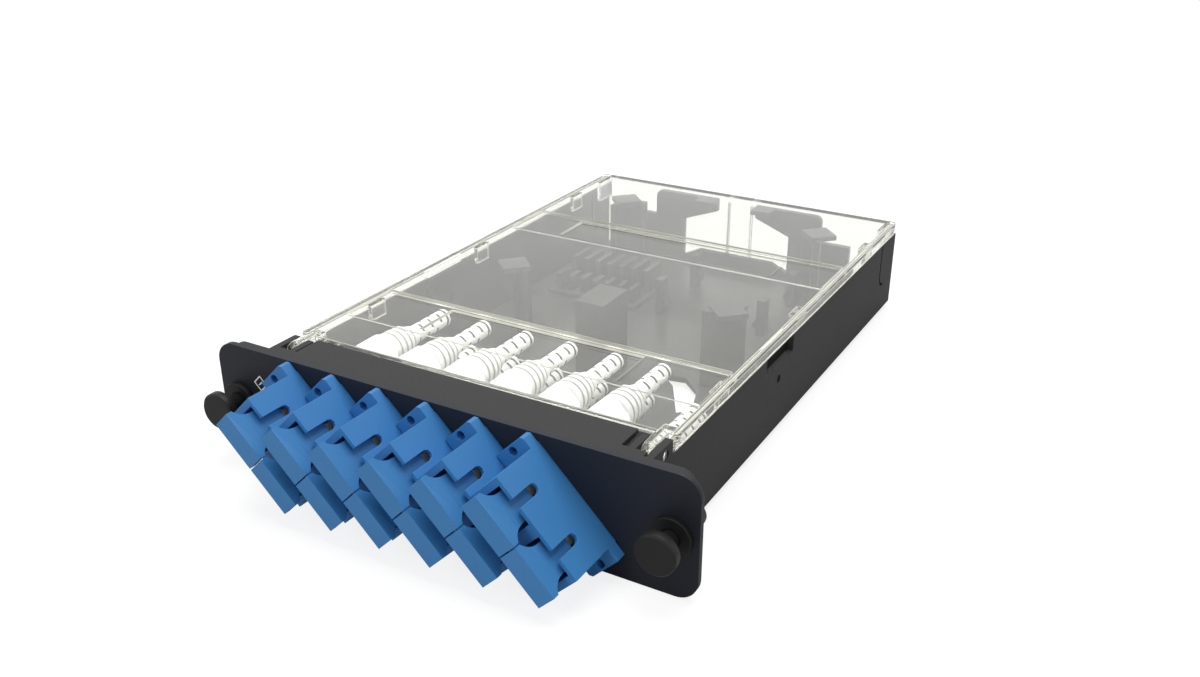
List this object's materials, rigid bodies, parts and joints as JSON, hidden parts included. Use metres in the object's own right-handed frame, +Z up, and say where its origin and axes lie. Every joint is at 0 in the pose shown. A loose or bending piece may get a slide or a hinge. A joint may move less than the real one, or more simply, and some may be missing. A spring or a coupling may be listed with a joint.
{
  "type": "fibre cassette",
  "caption": "Panel-mount fibre cassette: shallow tray with tilted duplex adapters, dust plugs, inner connectors, splice comb and a clear hinged cover.",
  "frame": {"origin": "below the middle of the part's footprint, at the height of the front plate's lower edge", "axes": "+X to the right seen from the front, +Y from the front plate to the tray's rear, +Z up"},
  "size_m": [0.1296, 0.19, 0.029],
  "materials": {
    "tray_plastic": "matt",
    "plate_paint": "matt",
    "clear_cover": "clear, gloss",
    "adapter_blue": "satin",
    "plug_blue": "satin",
    "holder_white": "satin",
    "sleeve_ceramic": "polished",
    "connector_white": "satin",
    "boot_white": "matt",
    "latch_plastic": "satin"
  },
  "bodies": {
    "cassette": {"base_tray": "tray_plastic", "front_plate": "plate_paint", "splice_comb": "tray_plastic", "grommets": "latch_plastic", "alignment_sleeves": "sleeve_ceramic", "adapter_1": "adapter_blue", "latch_holders_1": "holder_white", "adapter_2": "adapter_blue", "latch_holders_2": "holder_white", "adapter_3": "adapter_blue", "latch_holders_3": "holder_white", "adapter_4": "adapter_blue", "latch_holders_4": "holder_white", "adapter_5": "adapter_blue", "latch_holders_5": "holder_white", "adapter_6": "adapter_blue", "latch_holders_6": "holder_white", "connector_1": "connector_white", "boot_1": "boot_white", "connector_2": "connector_white", "boot_2": "boot_white", "connector_3": "connector_white", "boot_3": "boot_white", "connector_4": "connector_white", "boot_4": "boot_white", "connector_5": "connector_white", "boot_5": "boot_white", "connector_6": "connector_white", "boot_6": "boot_white", "connector_7": "connector_white", "boot_7": "boot_white", "connector_8": "connector_white", "boot_8": "boot_white", "connector_9": "connector_white", "boot_9": "boot_white", "connector_10": "connector_white", "boot_10": "boot_white", "connector_11": "connector_white", "boot_11": "boot_white", "connector_12": "connector_white", "boot_12": "boot_white"},
    "cover_body": {"cover": "clear_cover"},
    "left_plunger_body": {"left_plunger": "latch_plastic"},
    "right_plunger_body": {"right_plunger": "latch_plastic"},
    "dust_plug_1_body": {"dust_plug_1": "plug_blue"},
    "dust_plug_2_body": {"dust_plug_2": "plug_blue"},
    "dust_plug_3_body": {"dust_plug_3": "plug_blue"},
    "dust_plug_4_body": {"dust_plug_4": "plug_blue"},
    "dust_plug_5_body": {"dust_plug_5": "plug_blue"},
    "dust_plug_6_body": {"dust_plug_6": "plug_blue"},
    "dust_plug_7_body": {"dust_plug_7": "plug_blue"},
    "dust_plug_8_body": {"dust_plug_8": "plug_blue"},
    "dust_plug_9_body": {"dust_plug_9": "plug_blue"},
    "dust_plug_10_body": {"dust_plug_10": "plug_blue"},
    "dust_plug_11_body": {"dust_plug_11": "plug_blue"},
    "dust_plug_12_body": {"dust_plug_12": "plug_blue"}
  },
  "joints": [
    {"name": "cover_hinge", "type": "hinge", "parent": "cassette", "child": "cover_body", "pos_m": [0, -0.06385, 0.0258], "axis": [1, 0, 0], "range_deg": [0, 110]},
    {"name": "left_plunger_push", "type": "slide", "parent": "cassette", "child": "left_plunger_body", "axis": [0, 1, 0], "range_m": [0, 0.0044]},
    {"name": "right_plunger_push", "type": "slide", "parent": "cassette", "child": "right_plunger_body", "axis": [0, 1, 0], "range_m": [0, 0.0044]},
    {"name": "dust_plug_1_pull", "type": "slide", "parent": "cassette", "child": "dust_plug_1_body", "axis": [0, -1, 0], "range_m": [0, 0.012]},
    {"name": "dust_plug_2_pull", "type": "slide", "parent": "cassette", "child": "dust_plug_2_body", "axis": [0, -1, 0], "range_m": [0, 0.012]},
    {"name": "dust_plug_3_pull", "type": "slide", "parent": "cassette", "child": "dust_plug_3_body", "axis": [0, -1, 0], "range_m": [0, 0.012]},
    {"name": "dust_plug_4_pull", "type": "slide", "parent": "cassette", "child": "dust_plug_4_body", "axis": [0, -1, 0], "range_m": [0, 0.012]},
    {"name": "dust_plug_5_pull", "type": "slide", "parent": "cassette", "child": "dust_plug_5_body", "axis": [0, -1, 0], "range_m": [0, 0.012]},
    {"name": "dust_plug_6_pull", "type": "slide", "parent": "cassette", "child": "dust_plug_6_body", "axis": [0, -1, 0], "range_m": [0, 0.012]},
    {"name": "dust_plug_7_pull", "type": "slide", "parent": "cassette", "child": "dust_plug_7_body", "axis": [0, -1, 0], "range_m": [0, 0.012]},
    {"name": "dust_plug_8_pull", "type": "slide", "parent": "cassette", "child": "dust_plug_8_body", "axis": [0, -1, 0], "range_m": [0, 0.012]},
    {"name": "dust_plug_9_pull", "type": "slide", "parent": "cassette", "child": "dust_plug_9_body", "axis": [0, -1, 0], "range_m": [0, 0.012]},
    {"name": "dust_plug_10_pull", "type": "slide", "parent": "cassette", "child": "dust_plug_10_body", "axis": [0, -1, 0], "range_m": [0, 0.012]},
    {"name": "dust_plug_11_pull", "type": "slide", "parent": "cassette", "child": "dust_plug_11_body", "axis": [0, -1, 0], "range_m": [0, 0.012]},
    {"name": "dust_plug_12_pull", "type": "slide", "parent": "cassette", "child": "dust_plug_12_body", "axis": [0, -1, 0], "range_m": [0, 0.012]}
  ]
}
